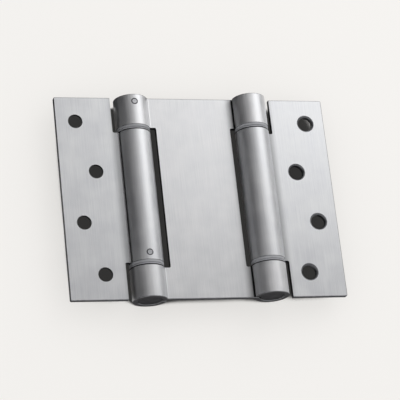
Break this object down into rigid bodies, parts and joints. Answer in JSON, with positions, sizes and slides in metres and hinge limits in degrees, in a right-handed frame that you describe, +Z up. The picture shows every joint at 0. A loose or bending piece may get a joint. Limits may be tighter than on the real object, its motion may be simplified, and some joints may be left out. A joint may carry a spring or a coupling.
{
  "type": "double action spring hinge",
  "caption": "Satin stainless double action spring hinge: leaves with countersunk screw holes fold to either side of a centre plate on sprung rolled barrels.",
  "frame": {"origin": "middle of the open hinge: half height, midway between the barrels, middle of the sheet", "axes": "+Z up along the barrels, +X from the door leaf to the frame leaf across the open hinge, +Y from front to back through the sheet"},
  "size_m": [0.169, 0.0248, 0.127],
  "materials": {
    "satin_stainless": "satin brushed stainless steel",
    "turned_steel": "fine turned steel",
    "spring_steel": "dark oiled spring steel"
  },
  "bodies": {
    "frame_side": {"frame_leaf": "satin_stainless", "frame_anchor_plug": "turned_steel", "frame_anchor_pin": "turned_steel", "frame_spring": "spring_steel", "frame_washer_upper_inner": "turned_steel", "frame_washer_lower_inner": "turned_steel"},
    "centre": {"centre_plate": "satin_stainless", "door_tension_plug": "turned_steel", "door_tension_pin": "turned_steel", "door_washer_upper_outer": "turned_steel", "door_washer_lower_outer": "turned_steel", "frame_tension_plug": "turned_steel", "frame_tension_pin": "turned_steel", "frame_washer_upper_outer": "turned_steel", "frame_washer_lower_outer": "turned_steel"},
    "door_side": {"door_leaf": "satin_stainless", "door_anchor_plug": "turned_steel", "door_anchor_pin": "turned_steel", "door_spring": "spring_steel", "door_washer_upper_inner": "turned_steel", "door_washer_lower_inner": "turned_steel"}
  },
  "joints": [
    {"name": "frame_joint", "type": "hinge", "parent": "frame_side", "child": "centre", "pos_m": [0.0367, -0.00215, 0], "axis": [0, 0, 1], "range_deg": [0, 180], "stiffness_Nm_per_rad": 1.2, "deforming": ["frame_spring"]},
    {"name": "door_joint", "type": "hinge", "parent": "centre", "child": "door_side", "pos_m": [-0.0367, 0.00215, 0], "axis": [0, 0, -1], "range_deg": [0, 180], "stiffness_Nm_per_rad": 1.2, "deforming": ["door_spring"]}
  ]
}
